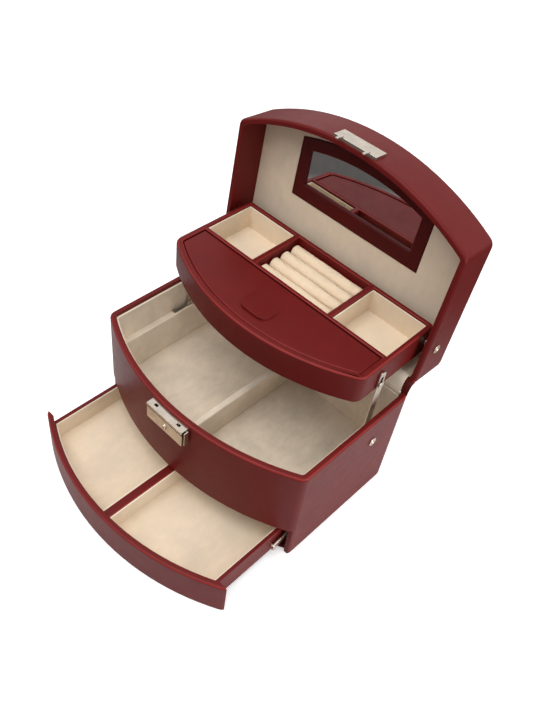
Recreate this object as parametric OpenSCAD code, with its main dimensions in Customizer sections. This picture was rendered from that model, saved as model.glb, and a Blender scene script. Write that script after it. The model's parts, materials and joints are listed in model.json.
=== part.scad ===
// Leather jewellery case with a bowed front: a lid that lifts a tray and pushes out a drawer as it opens.
// The case stands open. x is to the right, y to the back, z up.
// The origin is at the middle of the underside.

/* [Case] */
// Width of the case over its leather sides
case_w = 230; // [220:1:260]
// Depth of the case from its back to the middle of the bowed front
case_d = 160; // [155:1:175]
// Height of the case without its lid
case_h = 110; // [108:1:114]
// How far the front bows out from its corners
bow_depth = 31; // [24:1:36]
// Thickness of the leather-covered walls of the case and of the lid
wall_t = 5; // [4:0.5:6]
// Radius of the upright front corners
front_r = 8; // [7:0.5:12]
// Radius of the upright rear corners
rear_r = 7; // [6:0.5:10]
// Rounding of the leather along a rim
rim_r = 2.2; // [1:0.1:2.4]
// Thickness of the base board that the drawer runs on
base_t = 7; // [6:0.5:9]
// Thickness of the thin bottom sheet beside the drawer's runners
sheet_t = 2.5; // [1.5:0.1:3]
// Height of the drawer opening above the table
drawer_gap_h = 37; // [36:0.5:40]
// Thickness of the floor board over the drawer
floor_t = 4; // [3:0.5:5]
// Thickness of a lining board with its velour
lining_t = 1.7; // [1:0.1:2]
// How far the lining stops below the rim
lining_drop = 3.5; // [3:0.5:6]

/* [Main compartment] */
// Width of the levers' space between an inner side board and the wall
lever_space = 5.6; // [5.2:0.1:6.6]
// Thickness of the inner side boards
board_t = 2.4; // [1.5:0.1:2.4]
// Gap between the tops of the inner side boards and the levers' pivot rivets
board_gap = 0.6; // [0.5:0.1:6]
// Depth of the cover between an inner side board and the wall
cover_t = 3; // [2:0.5:4]
// Where that cover ends and the lever's recess begins
cover_end_y = 16.5; // [10:0.5:20]
// How far the slanted end of the side lining leans back
recess_lean = 12; // [5:0.5:16]
// Thickness of the divider
divider_t = 6; // [4:0.5:8]
// Height of the divider above the table
divider_top = 70; // [55:1:76]

/* [Lid] */
// Height of the lid from its rim to its top
lid_h = 41; // [40.5:0.5:46]
// Gap between the rims of the shut lid and the case
lid_gap = 0.4; // [0.3:0.1:0.8]
// Rounding of the lid's top edge
lid_r = 5; // [3:0.5:7]
// Angle from open to shut
lid_turn = 95; // [90:1:96]
// Distance of the hinge axis behind the back of the case
hinge_back = 3.8; // [3.8:0.1:4.4]
// Height of the hinge axis above the rim of the case
hinge_up = 4; // [3.8:0.1:4.4]
// Radius of the hinge knuckles
knuckle_r = 2.6; // [2.2:0.1:2.8]
// Radius of the hinge pin
hinge_pin_r = 1.2; // [0.8:0.1:1.4]
// Length of one hinge knuckle
knuckle_l = 20; // [15:1:24]
// Thickness of the hinge leaves
leaf_t = 0.9; // [0.6:0.1:1.1]
// Height of a hinge leaf
leaf_h = 13; // [10:0.5:16]
// Depth of the velour panel inside the lid, below the lid's top
panel_t = 6; // [4.5:0.5:6]
// How far the mirror frame stands out of the velour panel
frame_stand = 1; // [0.5:0.1:1.4]
// Thickness of the mirror frame
frame_t = 4; // [3:0.5:6]
// Half of the mirror frame's width
frame_x = 68.5; // [60:0.5:80]
// Distance from the hinge axis to the straight edge of the mirror frame
frame_u = 78; // [70:1:90]
// Distance from the lid's bow to the curved edge of the mirror frame
frame_inset = 20; // [14:0.5:24]
// Width of the mirror frame at its straight edge
frame_foot_w = 15; // [10:0.5:18]
// Width of the mirror frame at its other edges
frame_w = 11.5; // [8:0.5:15]
// Thickness of the mirror
mirror_t = 1.6; // [1:0.1:2]

/* [Tray] */
// Gap between the side of the tray and the inside of the case
tray_side_gap = 5.9; // [5.8:0.1:10]
// Height of the tray
tray_h = 28; // [26:0.5:28]
// Distance from the back of the tray to the middle of its bow
tray_d = 120.4; // [116:0.2:122]
// How far the tray's front bows out
tray_bow = 30.3; // [26:0.5:34]
// Radius of the upright front corners of the tray
tray_front_r = 10; // [9:0.5:14]
// Distance from the tray's pivot to its back
tray_pivot_back = 7.6; // [6:0.2:9]
// Height of the tray's pivot above its underside
tray_pivot_up = 14.5; // [13:0.5:15]
// Thickness of the tray's floor
tray_floor_t = 3; // [2:0.5:4]
// Thickness of the tray's side walls
tray_side_t = 4.4; // [4.2:0.1:5.5]
// Thickness of the tray's back wall
tray_back_t = 4.4; // [3.5:0.1:5]
// Half of the ring bay's width
bay_x = 39.5; // [36:0.5:42]
// Thickness of the walls beside the ring bay
bay_wall_t = 5; // [3:0.5:7]
// Distance from the tray's back to the wall behind the flap
flap_wall_back = 59.4; // [56:0.2:62]
// Thickness of the wall behind the flap
flap_wall_t = 3.5; // [2.5:0.5:5]
// Width of the rim around the flap
flap_rim_w = 5.5; // [4.5:0.5:7]
// Width of the ledge that the flap rests on
flap_ledge_w = 3; // [2:0.5:4]
// Thickness of the flap
flap_t = 3; // [2:0.5:4]
// How far the flap lies below the tray's rim
flap_drop = 0.8; // [0.4:0.1:1.5]
// Gap around the flap
flap_gap = 0.6; // [0.4:0.1:1]
// Width of the pull tab
tab_w = 30; // [24:1:36]
// Length of the pull tab
tab_l = 27; // [22:1:32]
// Thickness of the pull tab
tab_t = 1.4; // [1:0.1:1.6]
// Thickness of the linings of the tray and of the drawer
skin_t = 1; // [0.6:0.1:1.4]
// Number of ring rolls
roll_count = 4; // [3:1:4]
// Gap between two ring rolls
roll_gap = 0.5; // [0.3:0.1:1]
// How far the ring rolls lie below the tray's rim
roll_drop = 4; // [2.5:0.5:6]

/* [Levers] */
// Distance of the levers' pivots behind the middle of the case
lever_y = 38.5; // [37:0.5:40]
// Depth of the levers' pivots below the rim of the case
lever_drop = 28; // [26:0.5:28]
// Height of the tray's guide pin over the lever's pivot when open
guide_up = 63; // [62:0.5:64]
// Distance of the tray's guide pin behind the lever's pivot when open
guide_back = 0.5; // [0.3:0.1:0.7]
// Least height of the levers' lower pins above the table
pin_low = 7; // [7:0.5:11]
// How far the lower limb's swing leans forward
lower_lean = 4.4; // [4:0.1:4.8]
// Width of the levers
lever_w = 7.6; // [7:0.1:8]
// Thickness of the levers and of the drawer links
lever_t = 1.2; // [1:0.1:1.2]
// Radius of the pivot pins
pivot_r = 2; // [1.6:0.1:2.2]
// Radius of the guide pins
pin_r = 1.5; // [1.2:0.1:1.6]
// Running clearance of the pins in their holes
run_gap = 0.06; // [0.04:0.01:0.09]
// Turn of the levers per degree of the lid
lever_ratio = 0.608; // [0.606:0.001:0.61]
// Width of a drawer link's slot beyond the pin that runs in it
slot_play = 2; // [1.8:0.1:2.2]

/* [Drawer] */
// Height of the curved drawer front above the table
front_top = 36.4; // [34:0.1:36.4]
// Gap under the drawer front
front_gap = 0.5; // [0.4:0.1:1]
// Gap between the side of the drawer box and the inside of the case
box_side_gap = 6; // [5.8:0.1:7]
// Height of the drawer box above the table
box_top = 31; // [28:0.5:34]
// Running gap under and beside the drawer box
drawer_play = 0.4; // [0.3:0.05:0.5]
// Thickness of the drawer's side walls
box_side_t = 3; // [2:0.5:4]
// Thickness of the drawer's bottom
box_floor_t = 3; // [2:0.5:4]
// Length of the drawer box behind the corners of its front
box_back = 92; // [84:1:96]
// Width of the drawer's divider
box_divider_t = 8; // [5:0.5:10]
// Distance from the drawer's front corners to the rivets of its links
rivet_back = 62; // [58:0.5:64]
// Height of those rivets above the table
rivet_z = 16; // [14:0.5:18]
// Width of the strip of a drawer link
strip_w = 6; // [5:0.2:6.4]

/* [Latch] */
// Width of the latch and of the catch plate
latch_w = 41; // [34:1:46]
// Height of the latch housing
latch_h = 17; // [15:0.5:20]
// How far the latch housing stands out from the leather
latch_d = 7; // [6:0.5:9]
// How far the latch stays below the rim of the case
latch_drop = 3.5; // [3:0.5:5]
// Thickness of the latch's sheet metal
latch_t = 1; // [0.8:0.1:1.2]
// Height of the catch plate on the lid
catch_h = 13.5; // [11:0.5:16]
// How far the catch plate stands out from the lid
catch_stand = 2.4; // [2:0.1:2.8]
// Distance of the two hooks from the middle
hook_x = 13; // [10:0.5:14]
// Width of a hook
hook_w = 2.4; // [2:0.2:4]
// Radius of the lock cylinder
lock_r = 2.6; // [2:0.1:3]
// Depth of the lock cylinder below the top of the latch
lock_drop = 12; // [9:0.5:13]
// Travel of the sprung latch slider
slider_travel = 2.5; // [1.5:0.1:3]

/* [Hidden] */

// Colours of the finishes
leather_red = "#762626";
leather_dark = "#5a1d1f";
velour = "#dec8aa";
nickel = "#c9c9cc";
glass = "#aab4b8";

// Steps around a rounded corner, along a bow, around an edge, around the end of a bar, and around a pin
corner_steps = 5;
bow_steps = 26;
edge_steps = 4;
end_steps = 16;
pin_fn = 48;
// An allowance that carries a cut clear of a face
over = 1;
// Smallest gap between two pieces that move past each other
clear = 0.4;
// Radius of the upright corners at the tray's back, and the least radius of an inner corner
tray_rear_r = 4;
small_r = 0.5;
// Thickness of the drawer box's own front wall, behind the curved front
box_front_t = 1;
// Rounding of the leather along the bottom edges
foot_r = 1;

half_w = case_w / 2;
rear_y = case_d / 2;
apex_y = -case_d / 2;
bow_R = (half_w * half_w + bow_depth * bow_depth) / (2 * bow_depth);
bow_y = apex_y + bow_R;
corner_y = apex_y + bow_depth;
inner_x = half_w - wall_t;
// The drawer front parts from the side walls just behind the front corners
split_y = corner_y + 1;
lining_x = inner_x - lining_t;
board_x = inner_x - lever_space - board_t;
box_x = inner_x - box_side_gap;
tray_w = 2 * (inner_x - tray_side_gap);
floor_top = drawer_gap_h + floor_t;
lining_top = case_h - lining_drop;
// The back wall's rim is lower, and the hinge cover lies on it
rear_rim_z = case_h - rim_r - 1;

knuckle_count = 9;
hinge_l = knuckle_count * knuckle_l;
hinge_y = rear_y + hinge_back;
hinge_z = case_h + hinge_up;
lid_rim_z = case_h + lid_gap;
lid_top_z = lid_rim_z + lid_h;
panel_z = lid_top_z - wall_t - panel_t;
frame_z = panel_z - frame_stand;
rebate_w = 2;
bow_fn = 180;

// The tray's pivot, seen from the hinge axis with the lid shut: forwards and up
pivot_u = 40;
pivot_v = 10;
// A point of the lid, u forwards and v up from the hinge, with the lid open, half open or turned
function lid_open(u, v) = lid_at(lid_turn, u, v);
function lid_half(u, v) = lid_at(lid_turn / 2, u, v);
function lid_at(turn, u, v) =
    [hinge_y - u * cos(turn) + v * sin(turn), hinge_z + u * sin(turn) + v * cos(turn)];
tray_pivot = lid_open(pivot_u, pivot_v);
tray_rear = tray_pivot[0] + tray_pivot_back;
tray_apex = tray_rear - tray_d;
tray_z = tray_pivot[1] - tray_pivot_up;
tray_top = tray_z + tray_h;
tray_R = (tray_w * tray_w / 4 + tray_bow * tray_bow) / (2 * tray_bow);
tray_side_x = tray_w / 2;
pocket_x0 = bay_x + bay_wall_t;
pocket_x1 = tray_side_x - tray_side_t;
pocket_y0 = tray_rear - flap_wall_back + flap_wall_t / 2;
pocket_y1 = tray_rear - tray_back_t;
// The ring rolls fill the bay from front to back, on a bed
roll_pitch = (pocket_y1 - pocket_y0) / roll_count;
bed_top = tray_top - roll_drop - roll_pitch;
flap_rear = tray_rear - flap_wall_back - flap_wall_t / 2;
flap_top = tray_top - flap_drop;
// The pull tab's root in front of the wall behind the flap, and the radius of its corners
tab_back = 17;
tab_r = 5;
tray_floor = tray_z + tray_floor_t;

// Heads and shoulders of the pivot rivets
rivet_head_t = 1.2;
rivet_head_r = 4;
rivet_end_t = 1;
shoulder_r = 3.4;
// Depth of the pins in the tray's and the drawer's sides, and the pins' heads
pin_depth = 3.2;
rivet_depth = 2;
pin_head_t = 0.8;
guide_head_r = 3.2;
link_shoulder_r = 2.6;
link_head_r = 3;

// The levers run between the inner side boards and the walls
lever_x = board_x + board_t + clear;
link_x = lever_x + lever_t + clear;
// The tray's pivot moves in by this much as the lid shuts, and the guide pin with it
pivot_shut = [hinge_y - pivot_u, hinge_z + pivot_v];
lever_z = case_h - lever_drop;
board_top = lever_z - shoulder_r - board_gap;
guide_open = [lever_y + guide_back, lever_z + guide_up];
guide_half = lid_half(pivot_u, pivot_v) - tray_pivot + guide_open;
guide_shut = pivot_shut - tray_pivot + guide_open;
pivot_point = [lever_y, lever_z];
// The lower limb reaches down to its pin, between the drawer's side and the wall
lower_l = lever_z - pin_low;
// Play at the ends of the lever's slot, metal beyond it, and the widths of the lower limb and of the boss
slot_end_play = 2;
lever_tip = 3;
lower_limb_w = lever_w - 1;
lever_boss_w = lever_w + 1.6;
guide_r_max = norm(guide_half - pivot_point);
guide_r_min = norm(guide_shut - pivot_point);
guide_angle = atan2(guide_up, guide_back);
lever_turn = lever_ratio * lid_turn;
lower_angle = 270 - lower_lean - lever_turn / 2;
// Place of the pin at the lower end of the lever, with the lever turned by a share k of its swing
function low_pin(k) = let (a = lower_angle + k * lever_turn)
    [lever_y + lower_l * cos(a), lever_z + lower_l * sin(a)];
drawer_travel = low_pin(1)[0] - low_pin(0)[0];
// The pin leads or trails the drawer a little on the way, so the slot is set to the middle of that
pin_lags = [for (k = [0 : 0.05 : 1]) low_pin(k)[0] - low_pin(0)[0] - k * drawer_travel];
slot_shift = (max(pin_lags) + min(pin_lags)) / 2;
slot_w = 2 * pin_r + slot_play;
pin_high = low_pin(0)[1];

box_z = base_t + drawer_play;
box_floor_z = box_z + box_floor_t;
box_rear = corner_y + box_back;
// A drawer link in the drawer's own shut place: its rivet, its slot, and the plate around the slot
rivet_y = corner_y + rivet_back;
slot_y = low_pin(1)[0] + slot_shift;
plate_rim = 2.5;
plate_foot = 1;
strip_rise_l = 28;
link_top = pin_high + slot_w / 2 + plate_rim + slot_play;
link_bottom = pin_low - slot_w / 2 - plate_foot;

latch_top = case_h - latch_drop;
latch_bottom = latch_top - latch_h;
// A flat land in the leather, as deep as the bow over the width of a plate
land_y = bow_y - sqrt(bow_R * bow_R - latch_w * latch_w / 4);
latch_front = land_y - latch_d;
hook_y = land_y - latch_d / 2;
// How far the hooks reach into the latch, the size of their slots, and the slider's thickness
hook_reach = 2.6;
hook_slot_w = hook_w + 1.2;
hook_slot_d = 2.4;
slider_t = 1.2;
// Gap between the housing's end and the slider's finger tab
finger_gap = slider_travel / 3;
// Height and length of the lock cylinder, how far it stands out, and the keyway's radius
lock_z = latch_top - lock_drop;
lock_l = 3.4;
lock_stand = 0.9;
key_r = 0.8;

// Points of an arc about [x, y], from one angle to the other
function arc(x, y, r, from, to, steps) =
    [for (i = [0 : steps]) let (a = from + (to - from) * i / steps) [x + r * cos(a), y + r * sin(a)]];

// A rectangle whose front side is a bow of radius R, with rounded corners
function bowed(hw, rear, apex, R, rf, rr) =
    let (fx = hw - rf, fy = apex + R - sqrt((R - rf) * (R - rf) - fx * fx), lean = atan2(apex + R - fy, fx))
    concat(
        arc(hw - rr, rear - rr, rr, 0, 90, corner_steps),
        arc(rr - hw, rear - rr, rr, 90, 180, corner_steps),
        arc(-fx, fy, rf, 180, 180 + lean, corner_steps),
        arc(0, apex + R, R, 180 + lean, 360 - lean, bow_steps),
        arc(fx, fy, rf, 360 - lean, 360, corner_steps));

// The outline of the case, drawn in by t all round
function case_line(t) =
    bowed(half_w - t, rear_y - t, apex_y + t, bow_R - t, max(front_r - t, small_r), max(rear_r - t, small_r));
// The outline of the tray, drawn in by t all round
function tray_line(t) = bowed(tray_side_x - t, tray_rear - t, tray_apex + t, tray_R - t,
    max(tray_front_r - t, small_r), max(tray_rear_r - t, small_r));

module case_area(t) polygon(case_line(t));
module tray_area(t) polygon(tray_line(t));

// Heights and insets of the rings of a slab from z0 to z1, its edges rounded by r0 below and r1 above
function slab_rings(z0, z1, r0, r1) = [
    for (i = [edge_steps : -1 : 0]) let (a = 90 * i / edge_steps) [z0 + r0 * (1 - sin(a)), r0 * (1 - cos(a))],
    for (i = [0 : edge_steps]) let (a = 90 * i / edge_steps) [z1 - r1 * (1 - sin(a)), r1 * (1 - cos(a))]];

// A closed solid through outlines of the same number of points, one above the other
module loft(outlines, heights) {
    n = len(outlines[0]);
    last = len(outlines) - 1;
    polyhedron(
        points = [for (k = [0 : last]) for (p = outlines[k]) [p[0], p[1], heights[k]]],
        faces = concat(
            [[for (i = [0 : n - 1]) i]],
            [[for (i = [n - 1 : -1 : 0]) last * n + i]],
            [for (k = [0 : last - 1]) for (i = [0 : n - 1]) let (j = (i + 1) % n)
                [k * n + j, k * n + i, (k + 1) * n + i, (k + 1) * n + j]]));
}

// Slabs over the case's and the tray's outline with rounded edges
module case_slab(z0, z1, r0, r1) let (r = slab_rings(z0, z1, r0, r1))
    loft([for (k = r) case_line(k[1])], [for (k = r) k[0]]);
module tray_slab(z0, z1, r0, r1) let (r = slab_rings(z0, z1, r0, r1))
    loft([for (k = r) tray_line(k[1])], [for (k = r) k[0]]);

// Draws its children on the right-hand side, or mirrored on the left-hand side
module on_side(side) if (side > 0) children(); else mirror([1, 0, 0]) children();

// A round pin along x, from x0 to x1, at [y, z]
module pin_x(x0, x1, y, z, r)
    translate([x0, y, z]) rotate([0, 90, 0]) cylinder(h = x1 - x0, r = r, $fn = pin_fn);

// Extrudes an outline drawn in the plane of y and z along x, from x0 to x1
module plate_x(x0, x1) translate([x0, 0, 0]) rotate([90, 0, 90]) linear_extrude(x1 - x0) children();

// Turns its children from the shut lid's place to the open one
module opened_lid()
    translate([0, hinge_y, hinge_z]) rotate([-lid_turn, 0, 0]) translate([0, -hinge_y, -hinge_z]) children();

// A bar with round ends between two points of a plane
module bar(a, b, w) let (lean = atan2(b[1] - a[1], b[0] - a[0])) polygon(concat(
    arc(a[0], a[1], w / 2, lean + 90, lean + 270, end_steps),
    arc(b[0], b[1], w / 2, lean - 90, lean + 90, end_steps)));

// ---- Case ----

module case_shell() color(leather_red) difference() {
    case_slab(0, case_h, foot_r, rim_r);
    // The inside, and the lower rear rim that the hinge cover lies on
    translate([0, 0, -over]) linear_extrude(case_h + 2 * over) case_area(wall_t);
    translate([-inner_x, rear_y - wall_t - over, rear_rim_z]) cube([2 * inner_x, wall_t + 2 * over, case_h]);
    // The drawer opening
    translate([-half_w, apex_y - over, -over]) cube([case_w, split_y - apex_y + over, drawer_gap_h + over]);
    translate([-inner_x, apex_y, -over]) cube([2 * inner_x, -apex_y, drawer_gap_h + over]);
    // The flat land behind the latch, and the holes of the lever pivots
    translate([-latch_w / 2, apex_y - over, latch_bottom]) cube([latch_w, land_y - apex_y + over, latch_h]);
    pin_x(-half_w - over, half_w + over, lever_y, lever_z, pivot_r);
}

module base_board() color(leather_dark) intersection() {
    union() {
        linear_extrude(sheet_t) case_area(wall_t);
        linear_extrude(base_t) intersection() {
            case_area(wall_t);
            translate([-box_x, apex_y]) square([2 * box_x, case_d]);
        }
    }
    // Its front stays behind the shut drawer front
    linear_extrude(base_t) translate([0, clear + drawer_play]) case_area(wall_t);
}

module main_floor() color(velour)
    translate([0, 0, drawer_gap_h]) linear_extrude(floor_t) intersection() {
        case_area(wall_t);
        translate([-board_x - board_t, apex_y]) square([2 * (board_x + board_t), case_d]);
    }

module side_board(side) color(velour) on_side(side) intersection() {
    union() {
        translate([board_x, apex_y, floor_top]) cube([board_t, case_d, board_top - floor_top]);
        translate([board_x, apex_y, board_top - cover_t])
            cube([wall_t + board_t, cover_end_y - apex_y, cover_t]);
    }
    linear_extrude(case_h) case_area(wall_t + lining_t);
}

module main_divider() color(velour)
    translate([0, 0, floor_top]) linear_extrude(divider_top - floor_top) intersection() {
        case_area(wall_t + lining_t);
        translate([-divider_t / 2, apex_y]) square([divider_t, case_d]);
    }

module main_lining() color(velour) difference() {
    translate([0, 0, floor_top]) linear_extrude(lining_top - floor_top) difference() {
        case_area(wall_t);
        case_area(wall_t + lining_t);
    }
    // Behind this slanted line the side walls stay bare for the levers
    plate_x(-half_w, half_w) polygon([
        [cover_end_y, floor_top - over], [cover_end_y, board_top],
        [cover_end_y + recess_lean, lining_top + over], [rear_y, lining_top + over],
        [rear_y, floor_top - over]]);
}

// A strip of lining along the inside of the back wall, from z0 to z1
module back_strip(z0, z1) intersection() {
    translate([-lining_x, rear_y - wall_t - lining_t, z0]) cube([2 * lining_x, lining_t, z1 - z0]);
    translate([0, 0, z0]) linear_extrude(z1 - z0) case_area(wall_t);
}

module rear_lining() color(velour) back_strip(floor_top, rear_rim_z);

module hinge_cover() color(velour) translate([-lining_x, rear_y - wall_t, rear_rim_z])
    cube([2 * lining_x, wall_t - small_r, case_h - rear_rim_z]);

// A leaf of the hinge below the axis, with every second knuckle from the given one on
module hinge_leaf(first) {
    translate([-hinge_l / 2, -hinge_back, -hinge_up - leaf_h]) cube([hinge_l, leaf_t, leaf_h]);
    for (i = [first : 2 : knuckle_count - 1]) difference() {
        x0 = i * knuckle_l - hinge_l / 2 + clear / 2;
        plate_x(x0, x0 + knuckle_l - clear) union() {
            circle(r = knuckle_r, $fn = pin_fn);
            // The web from the leaf to the knuckle
            polygon([[-hinge_back, -hinge_up - over], [-hinge_back + leaf_t, -hinge_up - over],
                [0, -knuckle_r], [-knuckle_r, 0], [-hinge_back, -hinge_up + leaf_t]]);
        }
        pin_x(x0 - over, x0 + knuckle_l + over, 0, 0, hinge_pin_r + (first > 0 ? run_gap : 0));
    }
}

module case_hinge_leaf() color(nickel) translate([0, hinge_y, hinge_z]) hinge_leaf(0);

module hinge_pin() color(nickel) pin_x(-hinge_l / 2, hinge_l / 2, hinge_y, hinge_z, hinge_pin_r);

// Draws its children at both hooks
module at_hooks() for (side = [-1, 1]) translate([side * hook_x, 0, 0]) children();

module latch_housing() color(nickel) difference() {
    translate([-latch_w / 2, latch_front, latch_bottom]) cube([latch_w, latch_d, latch_h]);
    // Hollow for the slider, open at the right-hand end
    translate([latch_t - latch_w / 2, latch_front + latch_t, latch_bottom + latch_t])
        cube([latch_w, latch_d - 2 * latch_t, latch_h - 2 * latch_t]);
    // The hooks' slots, and the lock's hole
    at_hooks() translate([-hook_slot_w / 2, hook_y - hook_slot_d / 2, latch_top - latch_t - over])
        cube([hook_slot_w, hook_slot_d, latch_t + 2 * over]);
    translate([0, latch_front - over, lock_z]) rotate([-90, 0, 0])
        cylinder(h = latch_t + 2 * over, r = lock_r + run_gap, $fn = pin_fn);
}

module latch_slider() color(nickel) {
    z0 = latch_bottom + latch_t + clear;
    height = latch_h - 2 * (latch_t + clear);
    y0 = land_y - latch_t - clear - slider_t;
    difference() {
        translate([latch_t + slider_travel + clear - latch_w / 2, y0, z0])
            cube([latch_w - slider_travel - clear, slider_t, height]);
        // The notches that the hooks come down in
        at_hooks() translate([-hook_slot_w / 2, y0 - over, latch_top - hook_reach - hook_slot_d])
            cube([hook_slot_w + slider_travel, slider_t + 2 * over, hook_reach + hook_slot_d]);
    }
    // The finger tab at the right-hand end
    translate([latch_w / 2 + finger_gap, latch_front + latch_t + clear, z0])
        cube([latch_t, latch_d - 2 * (latch_t + clear), height]);
}

module lock_cylinder() color(nickel) translate([0, latch_front - lock_stand, lock_z]) rotate([-90, 0, 0])
    difference() {
        cylinder(h = lock_l, r = lock_r, $fn = pin_fn);
        // The keyway
        translate([0, 0, -over]) union() {
            cylinder(h = lock_l - latch_t, r = key_r, $fn = pin_fn);
            translate([-key_r / 2, 0, 0]) cube([key_r, 2 * key_r, lock_l - latch_t]);
        }
    }

// A rivet through the side wall: shank, head, shoulder beside the lever, and the clenched end
module lever_pivot(side) color(nickel) on_side(side) {
    pin_x(lever_x - clear, half_w, lever_y, lever_z, pivot_r);
    pin_x(half_w, half_w + rivet_head_t, lever_y, lever_z, rivet_head_r);
    pin_x(lever_x + lever_t + clear, inner_x, lever_y, lever_z, shoulder_r);
    pin_x(lever_x - clear - rivet_end_t, lever_x - clear, lever_y, lever_z, shoulder_r);
}

// ---- Lid, drawn shut and turned open ----

module lid_shell() color(leather_red) opened_lid() difference() {
    case_slab(lid_rim_z, lid_top_z, rim_r, lid_r);
    translate([0, 0, lid_rim_z - over]) linear_extrude(lid_h - wall_t + over) case_area(wall_t);
    translate([-latch_w / 2, apex_y - over, lid_rim_z]) cube([latch_w, land_y - apex_y + over, catch_h]);
    pin_x(-half_w - over, half_w + over, hinge_y - pivot_u, hinge_z + pivot_v, pivot_r);
}

// The outline of the mirror frame: a bow, cut off straight at the sides and at its foot, drawn in by t there
// and by foot_t at the foot
module frame_area(t, foot_t) intersection() {
    translate([0, bow_y]) circle(r = bow_R - frame_inset - t, $fn = bow_fn);
    translate([t - frame_x, apex_y]) square([2 * (frame_x - t), hinge_y - frame_u - foot_t - apex_y]);
}
// The opening of the frame, and the mirror, which is a rebate larger
module sight_area() frame_area(frame_w, frame_foot_w);
module mirror_area() frame_area(frame_w - rebate_w, frame_foot_w - rebate_w);

module lid_panel() color(velour) opened_lid() difference() {
    translate([0, 0, panel_z]) linear_extrude(panel_t) case_area(wall_t);
    translate([0, 0, panel_z - over]) linear_extrude(over + frame_t - frame_stand) frame_area(0, 0);
}

module lid_back_lining() color(velour) opened_lid() back_strip(lid_rim_z + rim_r, panel_z);

module lid_hinge_leaf() color(nickel)
    opened_lid() translate([0, hinge_y, hinge_z]) mirror([0, 0, 1]) hinge_leaf(1);

module mirror_frame() color(leather_dark) opened_lid() translate([0, 0, frame_z]) difference() {
    linear_extrude(frame_t) frame_area(0, 0);
    translate([0, 0, -over]) linear_extrude(over + frame_t - mirror_t) sight_area();
    translate([0, 0, frame_t - mirror_t]) linear_extrude(mirror_t + over) mirror_area();
}

module mirror_glass() color(glass) opened_lid()
    translate([0, 0, frame_z + frame_t - mirror_t]) linear_extrude(mirror_t) mirror_area();

module lid_catch() color(nickel) opened_lid() {
    catch_z = lid_rim_z + lid_gap;
    catch_front = land_y - catch_stand;
    // A plate with turned edges
    difference() {
        translate([-latch_w / 2, catch_front, catch_z]) cube([latch_w, catch_stand, catch_h - lid_gap]);
        translate([latch_t - latch_w / 2, catch_front + latch_t, catch_z + latch_t])
            cube([latch_w - 2 * latch_t, catch_stand, catch_h - lid_gap - 2 * latch_t]);
    }
    // Each hook stands out from the plate and reaches down into the latch
    at_hooks() translate([-hook_w / 2, hook_y - latch_t / 2, 0]) {
        translate([0, 0, catch_z]) cube([hook_w, catch_front + latch_t - hook_y, latch_t]);
        translate([0, 0, latch_top - hook_reach])
            cube([hook_w, latch_t, catch_z + latch_t - latch_top + hook_reach]);
    }
}

// A pivot through the lid's side wall into the side of the tray
module tray_pivot_pin(side) color(nickel) on_side(side) opened_lid() {
    y = hinge_y - pivot_u;
    z = hinge_z + pivot_v;
    pin_x(tray_side_x - pin_depth + clear, half_w, y, z, pivot_r);
    pin_x(half_w, half_w + rivet_head_t, y, z, rivet_head_r);
    pin_x(tray_side_x + clear, inner_x, y, z, shoulder_r);
}

// ---- Tray ----

module tray_shell() color(leather_red) difference() {
    tray_slab(tray_z, tray_top, rim_r, rim_r);
    for (side = [-1, 1]) on_side(side) translate([pocket_x0, pocket_y0, tray_floor])
        cube([pocket_x1 - pocket_x0, pocket_y1 - pocket_y0, tray_h]);
    translate([-bay_x, pocket_y0, tray_floor]) cube([2 * bay_x, pocket_y1 - pocket_y0, tray_h]);
    // The seat of the flap, and the compartment under it
    translate([0, 0, flap_top - flap_t]) linear_extrude(tray_h) flap_area(flap_rim_w, 0);
    translate([0, 0, tray_floor]) linear_extrude(tray_h) flap_area(flap_rim_w + flap_ledge_w, flap_ledge_w);
    // The holes of the pivots and of the guide pins
    for (side = [-1, 1]) on_side(side) {
        pin_x(tray_side_x - pin_depth, tray_side_x + over, tray_pivot[0], tray_pivot[1], pivot_r + run_gap);
        pin_x(tray_side_x - pin_depth, tray_side_x + over, guide_open[0], guide_open[1], pin_r);
    }
}

// The tray's outline drawn in by t, in front of the wall behind the flap
module flap_area(t, back) intersection() {
    tray_area(t);
    translate([-tray_side_x, tray_apex]) square([tray_w, flap_rear - back - tray_apex]);
}

// An open box of lining, from x0 to x1, y0 to y1 and z0 to z1
module lining_box(x0, x1, y0, y1, z0, z1) difference() {
    translate([x0, y0, z0]) cube([x1 - x0, y1 - y0, z1 - z0]);
    translate([x0 + skin_t, y0 + skin_t, z0 + skin_t])
        cube([x1 - x0 - 2 * skin_t, y1 - y0 - 2 * skin_t, z1 - z0]);
}

module tray_lining(side) color(velour) on_side(side)
    lining_box(pocket_x0, pocket_x1, pocket_y0, pocket_y1, tray_floor, tray_top - rim_r);

module ring_bed() color(velour) translate([-bay_x, pocket_y0, tray_floor])
    cube([2 * bay_x, pocket_y1 - pocket_y0, bed_top - tray_floor]);

module ring_rolls() color(velour) for (i = [0 : roll_count - 1]) {
    r = (roll_pitch - roll_gap) / 2;
    z = tray_top - roll_drop - r;
    y = pocket_y0 + (i + 0.5) * roll_pitch;
    plate_x(clear - bay_x, bay_x - clear) union() {
        translate([y, z]) circle(r = r, $fn = pin_fn);
        translate([y - r, bed_top]) square([2 * r, z - bed_top]);
    }
}

module tray_flap() color(leather_red) translate([0, 0, flap_top - flap_t])
    linear_extrude(flap_t) flap_area(flap_rim_w + flap_gap, flap_gap);

module flap_tab() color(leather_red) {
    x = tab_w / 2;
    y = flap_rear - tab_back;
    translate([0, 0, flap_top]) linear_extrude(tab_t) polygon(concat(
        [[x, y], [-x, y]],
        arc(tab_r - x, y - tab_l + tab_r, tab_r, 180, 270, corner_steps),
        arc(x - tab_r, y - tab_l + tab_r, tab_r, 270, 360, corner_steps)));
}

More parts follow.
